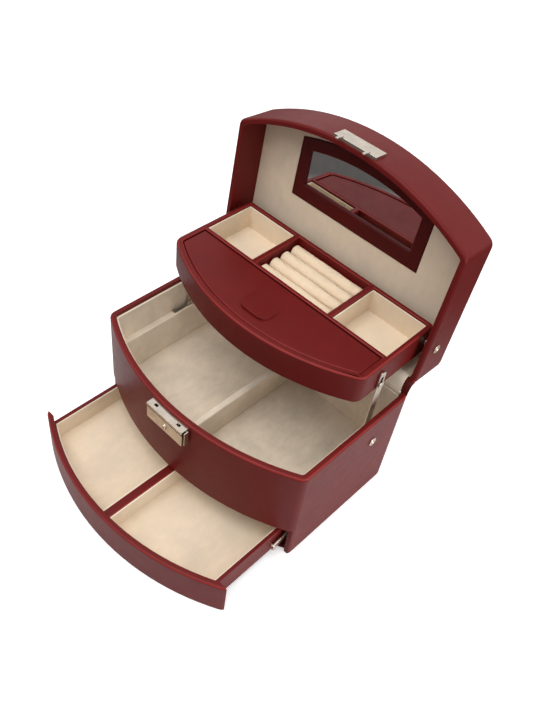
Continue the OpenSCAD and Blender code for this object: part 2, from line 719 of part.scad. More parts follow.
module guide_pin(side) color(nickel) on_side(side) {
    head_x = lever_x + lever_t + clear;
    pin_x(tray_side_x - pin_depth, head_x, guide_open[0], guide_open[1], pin_r);
    pin_x(head_x, head_x + pin_head_t, guide_open[0], guide_open[1], guide_head_r);
}

// ---- Levers ----

// A bell crank: the upper limb's slot takes the tray's guide pin, the lower limb's pin drives the drawer
module lever(side) color(nickel) on_side(side) {
    slot_in = guide_r_min - slot_end_play;
    slot_out = guide_r_max + slot_end_play / 2;
    up = [cos(guide_angle), sin(guide_angle)];
    down = [cos(lower_angle), sin(lower_angle)];
    difference() {
        plate_x(lever_x, lever_x + lever_t) translate(pivot_point) difference() {
            union() {
                bar([0, 0], (slot_out + lever_tip) * up, lever_w);
                bar([0, 0], lower_l * down, lower_limb_w);
                circle(d = lever_boss_w, $fn = pin_fn);
            }
            bar(slot_in * up, slot_out * up, 2 * pin_r + 2 * clear);
        }
        pin_x(lever_x - over, lever_x + lever_t + over, lever_y, lever_z, pivot_r + run_gap);
    }
    pin_x(lever_x + lever_t, link_x + lever_t + clear / 2, low_pin(0)[0], low_pin(0)[1], pin_r);
}

// ---- Drawer, drawn shut and slid open ----

module slid_drawer() translate([0, -drawer_travel, 0]) children();

module drawer_front() color(leather_red) slid_drawer() difference() {
    case_slab(front_gap, front_top, foot_r, rim_r);
    translate([0, 0, -over]) linear_extrude(case_h) case_area(wall_t);
    translate([-half_w - over, split_y - clear, -over]) cube([case_w + 2 * over, case_d, case_h]);
}

// The outline of the drawer box behind the drawer front, drawn in at its sides and back, and at its front
module box_area(side_t, front_t) intersection() {
    case_area(wall_t + front_t);
    translate([side_t - box_x, apex_y]) square([2 * (box_x - side_t), box_rear - side_t - apex_y]);
}

module drawer_box() color(leather_dark) slid_drawer() difference() {
    translate([0, 0, box_z]) linear_extrude(box_top - box_z) box_area(0, 0);
    translate([0, 0, box_floor_z]) linear_extrude(box_top) box_area(box_side_t, box_front_t);
    for (side = [-1, 1]) on_side(side)
        pin_x(box_x - rivet_depth, box_x + over, rivet_y, rivet_z, pin_r);
}

module drawer_divider() color(leather_dark) slid_drawer() translate([0, 0, box_floor_z])
    linear_extrude(box_top - box_floor_z) intersection() {
        box_area(box_side_t, box_front_t);
        translate([-box_divider_t / 2, apex_y]) square([box_divider_t, case_d]);
    }

module drawer_lining(side) color(velour) on_side(side) slid_drawer() difference() {
    translate([0, 0, box_floor_z]) linear_extrude(box_top - skin_t - box_floor_z) lining_area(0);
    translate([0, 0, box_floor_z + skin_t]) linear_extrude(box_top) lining_area(skin_t);
}

// One half of the drawer's inside, drawn in by t
module lining_area(t) intersection() {
    box_area(box_side_t + t, box_front_t + t);
    translate([box_divider_t / 2 + t, apex_y]) square([box_x, case_d]);
}

// A strip on the drawer's side, which rises to a plate with an upright slot for the lever's pin
module drawer_link(side) color(nickel)
    on_side(side) slid_drawer() plate_x(link_x, link_x + lever_t) difference() {
        strip_z = link_top - strip_w / 2;
        union() {
            bar([rivet_y, rivet_z], [rivet_y + strip_rise_l, strip_z], strip_w);
            bar([rivet_y + strip_rise_l, strip_z], [slot_y, strip_z], strip_w);
            translate([slot_y - slot_w / 2 - plate_rim, link_bottom])
                square([slot_w + 2 * plate_rim, link_top - link_bottom]);
        }
        bar([slot_y, pin_low], [slot_y, pin_high], slot_w);
        translate([rivet_y, rivet_z]) circle(r = pin_r, $fn = pin_fn);
    }

module link_rivets() color(nickel) slid_drawer() for (side = [-1, 1]) on_side(side) {
    pin_x(box_x - rivet_depth, link_x + lever_t, rivet_y, rivet_z, pin_r);
    pin_x(box_x, link_x, rivet_y, rivet_z, link_shoulder_r);
    pin_x(link_x + lever_t, link_x + lever_t + pin_head_t, rivet_y, rivet_z, link_head_r);
}

case_shell();
base_board();
main_floor();
side_board(-1);  // side_board_left
side_board(1);  // side_board_right
main_divider();
main_lining();
rear_lining();
hinge_cover();
case_hinge_leaf();
hinge_pin();
latch_housing();
latch_slider();
lock_cylinder();
lever_pivot(-1);  // lever_pivot_left
lever_pivot(1);  // lever_pivot_right
lid_shell();
lid_panel();
lid_back_lining();
lid_hinge_leaf();
mirror_frame();
mirror_glass();
lid_catch();
tray_pivot_pin(-1);  // tray_pivot_left
tray_pivot_pin(1);  // tray_pivot_right
tray_shell();
tray_lining(-1);  // tray_lining_left
tray_lining(1);  // tray_lining_right
ring_bed();
ring_rolls();
tray_flap();
flap_tab();
guide_pin(-1);  // guide_pin_left
guide_pin(1);  // guide_pin_right
lever(-1);  // lever_left
lever(1);  // lever_right
drawer_front();
drawer_box();
drawer_lining(-1);  // drawer_lining_left
drawer_lining(1);  // drawer_lining_right
drawer_divider();
drawer_link(-1);  // drawer_link_left
drawer_link(1);  // drawer_link_right
link_rivets();
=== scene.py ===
# %% [markdown]
# # A leather jewellery case, dressed for a studio picture
# The case is already built as plain solids: boards, walls, hinges and levers at their real sizes.
# This notebook gives each of them the surface that the maker's bench gives it: wrapped leather with soft
# edges, brushed velour, padded rolls, polished nickel and a silvered mirror.
# The first cell loads the solids. Their meshes are in metres. Most lengths below are written in
# millimetres and multiplied by MM.

# %% Load the solids
import json
import math

import bpy
from mathutils import Matrix, Vector


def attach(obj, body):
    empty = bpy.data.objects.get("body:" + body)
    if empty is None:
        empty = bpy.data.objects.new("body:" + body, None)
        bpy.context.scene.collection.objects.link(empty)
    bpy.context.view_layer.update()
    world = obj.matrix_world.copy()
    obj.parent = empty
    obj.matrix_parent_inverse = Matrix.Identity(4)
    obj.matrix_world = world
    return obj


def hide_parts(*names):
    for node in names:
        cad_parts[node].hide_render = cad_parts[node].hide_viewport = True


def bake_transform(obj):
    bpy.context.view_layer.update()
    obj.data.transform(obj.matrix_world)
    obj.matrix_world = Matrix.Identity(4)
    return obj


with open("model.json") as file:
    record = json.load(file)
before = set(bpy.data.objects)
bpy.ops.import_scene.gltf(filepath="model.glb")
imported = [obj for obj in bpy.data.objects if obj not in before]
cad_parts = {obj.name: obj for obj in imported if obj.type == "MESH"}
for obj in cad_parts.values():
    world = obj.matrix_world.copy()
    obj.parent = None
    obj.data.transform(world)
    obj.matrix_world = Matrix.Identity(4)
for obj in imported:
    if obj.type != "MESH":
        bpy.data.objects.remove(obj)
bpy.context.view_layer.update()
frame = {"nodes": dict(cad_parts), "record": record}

MM = 0.001
NODES = frame["nodes"]
BODY_OF = {node: body for body, nodes in frame["record"]["behaviour"]["bodies"].items()
    for node in nodes}
print("pieces in the frame:", len(NODES))

# %% [markdown]
# ## Camera
# The case is seen from its right front corner and from well above, with the camera rolled a little,
# so that the lid leans to the right. A camera is three things: the point it looks at, the direction it
# looks from, and its lens. Azimuth and elevation give the direction, and the roll turns the picture.

# %% Place the camera
PICTURE_HEIGHT_PX = 720
FOCAL_PX = 756.65
SENSOR_MM = 36.0
AZIMUTH = math.radians(37.40)
ELEVATION = math.radians(46.72)
ROLL = math.radians(9.23)
DISTANCE = 684.64 * MM
LOOK_AT = Vector((-8.53, 46.35, 72.15)) * MM

back = Vector((math.sin(AZIMUTH) * math.cos(ELEVATION), -math.cos(AZIMUTH) * math.cos(ELEVATION),
    math.sin(ELEVATION)))
right = Vector((0, 0, 1)).cross(back).normalized()
up = back.cross(right)
rolled_right = right * math.cos(ROLL) + up * math.sin(ROLL)
rolled_up = up * math.cos(ROLL) - right * math.sin(ROLL)

camera_data = bpy.data.cameras.new("studio_camera")
camera_data.sensor_width = SENSOR_MM
camera_data.lens = SENSOR_MM * FOCAL_PX / PICTURE_HEIGHT_PX
camera = bpy.data.objects.new("studio_camera", camera_data)
turn = Matrix((rolled_right, rolled_up, back)).transposed().to_4x4()
camera.matrix_world = Matrix.Translation(LOOK_AT + back * DISTANCE) @ turn
bpy.context.scene.collection.objects.link(camera)
bpy.context.scene.camera = camera
bpy.context.scene.view_settings.view_transform = "Standard"
print("lens in mm:", round(camera_data.lens, 2))

# %% [markdown]
# ## Materials: two helpers
# A material here is a small graph of nodes. One function writes a colour as it is written on a swatch,
# and one adds a node with its settings and its links. Everything else is plain use of these two.

# %% Helpers for materials
def swatch(code):
    """A colour written as #rrggbb, as the linear values that a shader takes."""
    values = [int(code[i:i + 2], 16) / 255 for i in (1, 3, 5)]
    return tuple(v / 12.92 if v <= 0.04045 else ((v + 0.055) / 1.055) ** 2.4 for v in values) + (1,)


def add(tree, kind, inputs=None, **settings):
    """Adds a node; each input is a value or another node's socket."""
    node = tree.nodes.new("ShaderNode" + kind)
    for name, value in settings.items():
        setattr(node, name, value)
    for socket, value in (inputs or {}).items():
        if isinstance(value, bpy.types.NodeSocket):
            tree.links.new(value, node.inputs[socket])
        else:
            node.inputs[socket].default_value = value
    return node


def finish_named(name, **surface):
    """A new material: its graph, its surface shader, and the place of each point on the piece."""
    material = bpy.data.materials.new(name)
    material.use_nodes = True
    tree = material.node_tree
    shader = tree.nodes["Principled BSDF"]
    for socket, value in surface.items():
        shader.inputs[socket.replace("_", " ")].default_value = value
    place = add(tree, "TexCoord").outputs["Object"]
    return material, tree, shader, place


def per(size_mm):
    """The scale of a pattern whose marks are this many millimetres apart."""
    return 1000 / size_mm


def mixed(tree, share, first, second, blend="MIX"):
    """Two colours, or two colour sockets, mixed by a share."""
    node = add(tree, "Mix", {0: share, 6: first, 7: second}, data_type="RGBA", blend_type=blend)
    return node.outputs[2]


def ramp(tree, value, low, high):
    """A value stretched so that low becomes 0 and high becomes 1."""
    node = add(tree, "MapRange", {"Value": value, "From Min": low, "From Max": high}, clamp=True)
    return node.outputs["Result"]

# %% [markdown]
# ## Leather
# The case is wrapped in calf leather, dyed burgundy, ironed smooth and sealed with a thin satin coat.
# The eye reads it from four things: a broad soft highlight, a fine grain of closed cells under half a
# millimetre across, slow clouds where the dye took more or less, and a lighter line along the rounded
# rims.
# Cells are a Voronoi pattern and clouds are noise. The rims' lighter line is a painted highlight: those
# faces get a second leather with a lighter dye.

# %% Make the leathers
GRAIN_MM = 0.9        # the real cells are about half as wide, and would not show
PORE_MM = 0.35
CLOUD_MM = 34
CREASE_MM = 9


def calf_leather(name, dye, deep_dye, roughness):
    material, tree, shader, place = finish_named(name, IOR=1.5, Specular_IOR_Level=0.16)
    cloud = add(tree, "TexNoise", {"Vector": place, "Scale": per(CLOUD_MM), "Detail": 4}).outputs["Fac"]
    dyed = mixed(tree, ramp(tree, cloud, 0.35, 0.68), swatch(deep_dye), swatch(dye))
    cells = add(tree, "TexVoronoi", {"Vector": place, "Scale": per(GRAIN_MM)},
        feature="SMOOTH_F1").outputs["Distance"]
    grained = mixed(tree, ramp(tree, cells, 0.0, 1.6), dyed, swatch(deep_dye))
    scuff = add(tree, "TexNoise", {"Vector": place, "Scale": per(CREASE_MM), "Detail": 5}).outputs["Fac"]
    tree.links.new(grained, shader.inputs["Base Color"])
    gloss = add(tree, "MapRange", {"Value": scuff, "To Min": roughness - 0.05,
        "To Max": roughness + 0.07})
    tree.links.new(gloss.outputs["Result"], shader.inputs["Roughness"])
    pores = add(tree, "TexNoise", {"Vector": place, "Scale": per(PORE_MM), "Detail": 2}).outputs["Fac"]
    creased = add(tree, "Bump", {"Strength": 0.16, "Distance": 0.9 * MM, "Height": scuff})
    celled = add(tree, "Bump", {"Strength": 0.25, "Distance": 0.08 * MM, "Height": cells,
        "Normal": creased.outputs[0]})
    pored = add(tree, "Bump", {"Strength": 0.12, "Distance": 0.05 * MM, "Height": pores,
        "Normal": celled.outputs[0]})
    tree.links.new(pored.outputs[0], shader.inputs["Normal"])
    return material


red_leather = calf_leather("burgundy_calf_leather", "#671614", "#5f1412", 0.4)
# A lighter copy of the leather for the rounded rims: a painted highlight.
painted_highlight_leather = calf_leather("calf_with_painted_rim_highlight", "#8a2a26", "#7c2320", 0.36)
# A darker copy of the same leather: painted shade, for the mirror frame, the base board, the hinge
# gussets and the groove round the flap.
dark_leather = calf_leather("calf_with_painted_shade", "#521110", "#490e0d", 0.44)

# %% [markdown]
# ## Velour
# The linings are cotton velour on card: a short pile that has been brushed this way and that. Where the
# pile leans away from the eye it looks darker and greyer, so the cloth shows soft patches some
# centimetres wide with finer brush strokes in them. Sheen gives the pale edge that a pile has when it is
# seen along the cloth. The pile itself is far finer than the picture, so it is drawn coarser.

# %% Make the velours
PATCH_MM = 46
STROKE_MM = 5
PILE_MM = 0.6


def cotton_velour(name, lit, brushed, shade, patchy):
    material, tree, shader, place = finish_named(name, Roughness=0.95, IOR=1.4, Sheen_Weight=0.3,
        Sheen_Roughness=0.45, Specular_IOR_Level=0.2)
    shader.inputs["Sheen Tint"].default_value = swatch(lit)
    patch = add(tree, "TexNoise", {"Vector": place, "Scale": per(PATCH_MM), "Detail": 3,
        "Distortion": 0.8}).outputs["Fac"]
    drawn = add(tree, "Mapping", {"Vector": place, "Rotation": (0.1, 0.1, 0.3), "Scale": (1, 0.5, 0.5)})
    stroke = add(tree, "TexNoise", {"Vector": drawn.outputs[0], "Scale": per(STROKE_MM), "Detail": 6,
        "Roughness": 0.6}).outputs["Fac"]
    leaning = mixed(tree, ramp(tree, patch, 0.36, 0.7), swatch(lit), swatch(brushed))
    stroked = mixed(tree, add(tree, "Math", {0: ramp(tree, stroke, 0.35, 0.85), 1: patchy},
        operation="MULTIPLY").outputs[0], leaning, swatch(shade))
    tree.links.new(stroked, shader.inputs["Base Color"])
    pile = add(tree, "TexNoise", {"Vector": place, "Scale": per(PILE_MM), "Detail": 3}).outputs["Fac"]
    brushed_bump = add(tree, "Bump", {"Strength": 0.22, "Distance": 0.4 * MM, "Height": stroke})
    piled = add(tree, "Bump", {"Strength": 0.35, "Distance": 0.12 * MM, "Height": pile,
        "Normal": brushed_bump.outputs[0]})
    tree.links.new(piled.outputs[0], shader.inputs["Normal"])
    return material


velour = cotton_velour("brushed_cotton_velour", "#e9d6bc", "#dccbb4", "#c6b9a8", 0.32)
# A darker, greyer copy for the inside of the case, which the tray and the walls shade: painted shade.
shaded_velour = cotton_velour("velour_of_the_case_with_painted_shade", "#e9dac5", "#d2c5b2", "#b5aa9b", 0.4)
roll_cloth = cotton_velour("ring_roll_velour", "#e9d3b6", "#e2ccaf", "#d2bfa3", 0.4)
# A paler velour for the tops of the linings: a painted highlight.
painted_top_highlight_velour = cotton_velour("velour_with_painted_top_highlight", "#f3e6d2", "#eee0ca", "#e2d2b9", 0.3)

# %% [markdown]
# ## Nickel and mirror
# The fittings are pressed steel with a thin bright nickel plate: almost white, a touch warm, with hair
# lines from the polishing wheel and a slightly uneven gloss from handling. The mirror is thin float
# glass silvered on its back, so it is nearly perfect and only very slightly grey.

# %% Make the metals
HAIR_MM = 0.5


def nickel_plate(name, tone, dull, roughness):
    material, tree, shader, place = finish_named(name, Metallic=1.0)
    hair = add(tree, "Mapping", {"Vector": place, "Scale": (0.06, 1, 1)})
    lines = add(tree, "TexNoise", {"Vector": hair.outputs[0], "Scale": per(HAIR_MM),
        "Detail": 3}).outputs["Fac"]
    smear = add(tree, "TexNoise", {"Vector": place, "Scale": per(6), "Detail": 3}).outputs["Fac"]
    tree.links.new(mixed(tree, ramp(tree, smear, 0.3, 0.8), swatch(tone), swatch(dull)),
        shader.inputs["Base Color"])
    gloss = add(tree, "MapRange", {"Value": smear, "To Min": roughness - 0.06,
        "To Max": roughness + 0.1})
    tree.links.new(gloss.outputs["Result"], shader.inputs["Roughness"])
    polish_lines_and_painted_highlight = add(tree, "Bump", {"Strength": 0.25, "Distance": 0.05 * MM, "Height": lines})
    tree.links.new(polish_lines_and_painted_highlight.outputs[0], shader.inputs["Normal"])
    return material


nickel = nickel_plate("bright_nickel_plate", "#d6cabc", "#c0b4a7", 0.22)

# A near-black metal for the back of the latch's gap: painted shadow.
painted_gap_shadow = nickel_plate("painted_shadow_in_the_latch_gap", "#2c2622", "#221d1a", 0.6)

silvered, tree, shader, place = finish_named("silvered_float_glass", Metallic=1.0)
dust = add(tree, "TexNoise", {"Vector": place, "Scale": per(11), "Detail": 6}).outputs["Fac"]
tree.links.new(mixed(tree, ramp(tree, dust, 0.4, 0.8), swatch("#dfe2e2"), swatch("#d2d6d6")),
    shader.inputs["Base Color"])
gloss = add(tree, "MapRange", {"Value": dust, "To Min": 0.0, "To Max": 0.03})
tree.links.new(gloss.outputs["Result"], shader.inputs["Roughness"])
ripple = add(tree, "Bump", {"Strength": 0.02, "Distance": 0.05 * MM, "Height": dust})
tree.links.new(ripple.outputs[0], shader.inputs["Normal"])

# %% [markdown]
# ## Light and floor
# The case stands on a sheet of white paper under one large soft lamp, in a room whose light comes from
# above. The paper throws that light back at the outer walls, which is why they look lighter near the
# floor, while the lid's high sides stay deep red. Camera rays see the floor and the room as white all
# over, and metal and glass see the room so too. What the room gives to the surfaces is set by itself, so
# the white background is never a reason for more light.

# %% Light the scene
ROOM_LIGHT = 0.98
PAPER_MM = (220, 380)       # the paper's light ends between these distances from the middle
FLOOR_GLOW = 0.3            # lifts the seen floor to white, and leaves its shadow
FLOOR_SIDE = 8              # in metres

world = bpy.data.worlds.new("pale_room")
bpy.context.scene.world = world
world.use_nodes = True
tree = world.node_tree
room = tree.nodes["Background"]
height = add(tree, "SeparateXYZ", {0: add(tree, "TexCoord").outputs["Generated"]}).outputs["Z"]
from_above = ramp(tree, height, 0.0, 0.8)
tree.links.new(mixed(tree, from_above, swatch("#88888c"), swatch("#ffffff")), room.inputs["Color"])
room.inputs["Strength"].default_value = ROOM_LIGHT
white = add(tree, "Background", {"Color": swatch("#ffffff"), "Strength": 1.0})
rays = add(tree, "LightPath")
seen = add(tree, "Math", {0: rays.outputs["Is Camera Ray"], 1: rays.outputs["Is Glossy Ray"]},
    operation="MAXIMUM")
seen = add(tree, "Math", {0: seen.outputs[0], 1: rays.outputs["Is Transmission Ray"]},
    operation="MAXIMUM")
both = add(tree, "MixShader", {0: seen.outputs[0], 1: room.outputs[0], 2: white.outputs[0]})
tree.links.new(both.outputs[0], tree.nodes["World Output"].inputs["Surface"])


def soft_lamp(name, place_mm, aim_mm, size_mm, watts):
    """A square lamp that looks from its place at its aim."""
    lamp = bpy.data.lights.new(name, "AREA")
    lamp.size = size_mm * MM
    lamp.energy = watts
    holder = bpy.data.objects.new(name, lamp)
    bpy.context.scene.collection.objects.link(holder)
    holder.location = Vector(place_mm) * MM
    look = Vector(aim_mm) * MM - holder.location
    holder.rotation_euler = look.to_track_quat("-Z", "Y").to_euler()


soft_lamp("top_lamp", place_mm=(-100, -350, 1200), aim_mm=(0, 30, 100), size_mm=900, watts=7.4)
soft_lamp("right_lamp", place_mm=(900, 100, 260), aim_mm=(0, 20, 30), size_mm=500, watts=4)

bpy.ops.object.select_all(action="DESELECT")
bpy.ops.mesh.primitive_plane_add(size=FLOOR_SIDE)
floor = bpy.context.object
floor.name = "pale_floor"
paper, tree, shader, place = finish_named("pale_paper_floor", Roughness=0.9, Specular_IOR_Level=0.0)
rays = add(tree, "LightPath")
away = add(tree, "VectorMath", {0: place}, operation="LENGTH").outputs["Value"]
edge = ramp(tree, away, PAPER_MM[0] * MM, PAPER_MM[1] * MM)
thrown = mixed(tree, edge, swatch("#ececec"), swatch("#5a5654"))
tree.links.new(mixed(tree, rays.outputs["Is Camera Ray"], thrown, swatch("#fdfdfd")),
    shader.inputs["Base Color"])
shader.inputs["Emission Color"].default_value = swatch("#ffffff")
glow = add(tree, "Math", {0: rays.outputs["Is Camera Ray"], 1: FLOOR_GLOW}, operation="MULTIPLY")
tree.links.new(glow.outputs[0], shader.inputs["Emission Strength"])
floor.data.materials.append(paper)

# %% [markdown]
# ## From a solid to a piece
# Each solid has the right shape but hard edges, and its mesh is loose triangles. A copy is merged and
# its flat faces joined, as a carpenter would square a blank. Then a bevel breaks the edges: a few tenths
# of a millimetre on card and sheet metal, more where leather or cloth turns over an edge.

# %% Helpers for pieces
def only(piece):
    """Selects one object and nothing else."""
    bpy.ops.object.select_all(action="DESELECT")
    piece.select_set(True)
    bpy.context.view_layer.objects.active = piece


def pick(piece, test, kind="polygons"):
    """Opens a piece in edit mode with the faces or edges selected that pass a test."""
    only(piece)
    for group in (piece.data.vertices, piece.data.edges, piece.data.polygons):
        group.foreach_set("select", [False] * len(group))
    chosen = [part for part in getattr(piece.data, kind) if test(part)]
    for part in chosen:
        part.select = True
        for number in part.vertices:
            piece.data.vertices[number].select = True
    faces = kind == "polygons"
    bpy.context.tool_settings.mesh_select_mode = (False, not faces, faces)
    bpy.ops.object.mode_set(mode="EDIT")
    return len(chosen)


def sharp_edges(piece, sharper_than=50):
    """The numbers of the edges that are sharper than an angle."""
    only(piece)
    bpy.context.tool_settings.mesh_select_mode = (False, True, False)
    bpy.ops.object.mode_set(mode="EDIT")
    bpy.ops.mesh.select_all(action="DESELECT")
    bpy.ops.mesh.edges_select_sharp(sharpness=math.radians(sharper_than))
    bpy.ops.object.mode_set(mode="OBJECT")
    return {edge.index for edge in piece.data.edges if edge.select}


def upright(piece, edge):
    """True for an edge that stands on end."""
    low, high = (piece.data.vertices[number].co for number in edge.vertices)
    return abs(high.z - low.z) > 0.95 * (high - low).length


def cut_across(piece, level_mm):
    """Cuts new edges into a piece all round at a level."""
    only(piece)
    bpy.ops.object.mode_set(mode="EDIT")
    bpy.ops.mesh.select_all(action="SELECT")
    bpy.ops.mesh.bisect(plane_co=(0, 0, level_mm * MM), plane_no=(0, 0, 1))
    bpy.ops.object.mode_set(mode="OBJECT")


def round_corners(piece, radius_mm, where=lambda middle: True, steps=8):
    """Rounds the upright corners of a piece whose middles pass a test."""
    sharp = sharp_edges(piece)
    points = piece.data.vertices
    pick(piece, lambda edge: edge.index in sharp and upright(piece, edge) and
        where((points[edge.vertices[0]].co + points[edge.vertices[1]].co) / 2), "edges")
    bpy.ops.mesh.bevel(offset=radius_mm * MM, segments=steps, affect="EDGES", clamp_overlap=True)
    bpy.ops.object.mode_set(mode="OBJECT")


def box_piece(name, low_mm, high_mm):
    """A block between two corners, as the start of a piece."""
    bpy.ops.object.select_all(action="DESELECT")
    middle = (Vector(low_mm) + Vector(high_mm)) / 2 * MM
    bpy.ops.mesh.primitive_cube_add(size=1, location=middle)
    piece = bpy.context.object
    piece.name = piece.data.name = name
    piece.scale = (Vector(high_mm) - Vector(low_mm)) * MM
    bpy.ops.object.transform_apply(location=True, rotation=True, scale=True)
    return piece


def strip_along(name, low_x_mm, high_x_mm, path_mm):
    """A sheet drawn out edge by edge along points (y, z), between two values of x."""
    bpy.ops.object.select_all(action="DESELECT")
    bpy.ops.mesh.primitive_plane_add(size=1)
    piece = bpy.context.object
    piece.name = piece.data.name = name
    for point in piece.data.vertices:
        y, z = path_mm[0] if point.co.y < 0 else path_mm[1]
        point.co = Vector((low_x_mm if point.co.x < 0 else high_x_mm, y, z)) * MM
    far = Vector((0, *path_mm[1])) * MM
    pick(piece, lambda edge: all(abs(piece.data.vertices[n].co.z - far.z) < 1e-7 and
        abs(piece.data.vertices[n].co.y - far.y) < 1e-7 for n in edge.vertices), "edges")
    for (y0, z0), (y1, z1) in zip(path_mm[1:], path_mm[2:]):
        bpy.ops.mesh.extrude_region_move(
            TRANSFORM_OT_translate={"value": (0, (y1 - y0) * MM, (z1 - z0) * MM)})
    bpy.ops.object.mode_set(mode="OBJECT")
    return piece


def smooth_path(points, steps=4):
    """More points on a smooth curve through the given ones."""
    line = [points[0], *points, points[-1]]
    path = []
    for a, b, c, d in zip(line, line[1:], line[2:], line[3:]):
        for step in range(steps):
            t = step / steps
            path.append(tuple(0.5 * (2 * b[i] + (c[i] - a[i]) * t +
                (2 * a[i] - 5 * b[i] + 4 * c[i] - d[i]) * t ** 2 +
                (3 * b[i] - a[i] - 3 * c[i] + d[i]) * t ** 3) for i in (0, 1)))
    return path + [tuple(points[-1])]


def copy_of(node):
    """A copy of a solid as one clean mesh with flat faces."""
    piece = NODES[node].copy()
    piece.data = piece.data.copy()
    piece.parent = None
    for key in list(piece.keys()):
        del piece[key]
    piece.name = node + "_piece"
    piece.data.name = piece.name
    piece.data.materials.clear()
    bpy.context.scene.collection.objects.link(piece)
    only(piece)
    bpy.ops.mesh.customdata_custom_splitnormals_clear()
    bpy.ops.object.mode_set(mode="EDIT")
    bpy.ops.mesh.select_all(action="SELECT")
    bpy.ops.mesh.remove_doubles(threshold=0.004 * MM)
    bpy.ops.mesh.dissolve_limited(angle_limit=math.radians(0.4))
    bpy.ops.object.mode_set(mode="OBJECT")
    return piece


def modify(piece, kind, **settings):
    """Adds a modifier and applies it."""
    only(piece)
    modifier = piece.modifiers.new(kind.lower(), kind)
    for name, value in settings.items():
        setattr(modifier, name, value)
    bpy.ops.object.modifier_apply(modifier=modifier.name)


def soften(piece, width_mm, steps=3, from_angle=32):
    """Rounds every edge that is sharper than an angle."""
    modify(piece, "BEVEL", width=width_mm * MM, segments=steps, limit_method="ANGLE",
        angle_limit=math.radians(from_angle), miter_outer="MITER_ARC", use_clamp_overlap=True)


def paint(piece, material, test):
    """Gives the faces that pass a test a second material."""
    piece.data.materials.append(material)
    chosen = [face for face in piece.data.polygons if test(face)]
    for face in chosen:
        face.material_index = len(piece.data.materials) - 1
    return len(chosen)


def slanted(value):
    """True for a normal's part that is neither flat on nor edge on."""
    return 0.25 < value < 0.96


def dress(piece, material, slot, node=None, body=None, smooth_angle=38, soft=False):
    """Gives a finished piece its material and its body, in place of its solid. The slot is not used."""
    only(piece)
    bpy.ops.object.transform_apply(location=True, rotation=True, scale=True)
    bpy.ops.object.shade_smooth_by_angle(angle=math.radians(smooth_angle))
    if not soft:
        modify(piece, "WEIGHTED_NORMAL", keep_sharp=True, weight=100)
    if not piece.data.materials:
        piece.data.materials.append(material)
    if node:
        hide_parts(*([node] if isinstance(node, str) else node))
        body = body or BODY_OF[node if isinstance(node, str) else node[0]]
    if body:
        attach(piece, body)
    return piece

# %% [markdown]
# ## The plain pieces
# Boards, floors, hinge leaves and pins need no more than the right material and broken edges: half a
# millimetre or more where leather or velour turns over the edge of a board, a little less on flat card,
# and very little on metal.

# %% Dress the plain solids
FINISHES = {
    "leather": (red_leather, "red_leather"), "dark": (dark_leather, "dark_leather"),
    "velour": (velour, "velour"), "shaded_case_velour": (shaded_velour, "velour"),
    "nickel": (nickel, "nickel")}
# Each solid with its finish, and the width of its broken edges in millimetres
PLAIN = {
    "case_shell": ("leather", 0.5), "base_board": ("dark", 0.4), "main_floor": ("shaded_case_velour", 0.3),
    "side_board_left": ("shaded_case_velour", 0.6), "side_board_right": ("shaded_case_velour", 0.6),
    "main_divider": ("shaded_case_velour", 1.2), "hinge_cover": ("shaded_case_velour", 0.5),
    "case_hinge_leaf": ("nickel", 0.15), "hinge_pin": ("nickel", 0.2),
    "latch_slider": ("nickel", 0.15), "lock_cylinder": ("nickel", 0.15),
    "lid_shell": ("leather", 0.5), "lid_panel": ("velour", 0.5), "lid_back_lining": ("velour", 0.3),
    "lid_hinge_leaf": ("nickel", 0.15), "lid_catch": ("nickel", 0.2),
    "ring_bed": ("velour", 0.3), "guide_pin_left": ("nickel", 0.3),
    "guide_pin_right": ("nickel", 0.3), "lever_left": ("nickel", 0.2), "lever_right": ("nickel", 0.2),
    "drawer_front": ("leather", 0.9), "drawer_divider": ("leather", 1.6),
    "drawer_link_left": ("nickel", 0.2), "drawer_link_right": ("nickel", 0.2),
    "link_rivets": ("nickel", 0.3)}
DRAWER_WALL_HIGHLIGHT_MM = 28
# The rounded faces near each rim, which get the painted highlight
PAINTED_HIGHLIGHT_FACES = {
    "case_shell": lambda face: face.center.z > 105 * MM and slanted(face.normal.z),
    "lid_shell": lambda face: face.center.y < 84 * MM and slanted(-face.normal.y),
    "drawer_front": lambda face: face.center.z > 33 * MM and slanted(face.normal.z),
    "drawer_divider": lambda face: face.center.z > DRAWER_WALL_HIGHLIGHT_MM * MM and
        slanted(face.normal.z)}
# The back of the hinge cover is leather, because it closes the gap over the rear wall
BACKED = {"hinge_cover": lambda face: face.normal.y > 0.25}
# Beside the levers the case's side walls are bare of card, and the velour is glued straight onto them
VELOUR_TOP_MM = 106.5
INNER_WALL_MM = 110


def on_inner_wall(face):
    """True for the faces of the case's side walls that look inwards, below the lining's top."""
    return (abs(abs(face.center.x) - INNER_WALL_MM * MM) < 0.3 * MM and
        face.normal.x * face.center.x < 0 and face.center.z < VELOUR_TOP_MM * MM)


for node, (finish, width) in PLAIN.items():
    piece = copy_of(node)
    if node == "case_shell":
        cut_across(piece, VELOUR_TOP_MM)
    soften(piece, width)
    dress(piece, *FINISHES[finish], node=node)
    # Painted highlight: the rounded faces near the rim get the lighter leather.
    if node in PAINTED_HIGHLIGHT_FACES:
        paint(piece, painted_highlight_leather, PAINTED_HIGHLIGHT_FACES[node])
    if node == "case_shell":
        print("velour on the side walls:", paint(piece, shaded_velour, on_inner_wall))
    if node in BACKED:
        paint(piece, red_leather, BACKED[node])
    print(node, len(piece.data.polygons))

# %% [markdown]
# ## Linings with pale edges
# A lining is a box or a strip of card with velour glued over it. Its top faces catch the light, so they
# get a paler velour there as a painted highlight. The drawer's walls meet in rounded corners, because
# card is bent round them and not mitred, so those corners get a wide bevel first. Afterwards the faces
# near the top level get the paler cloth.

# %% Dress the linings
PALE_BAND_MM = 0.8
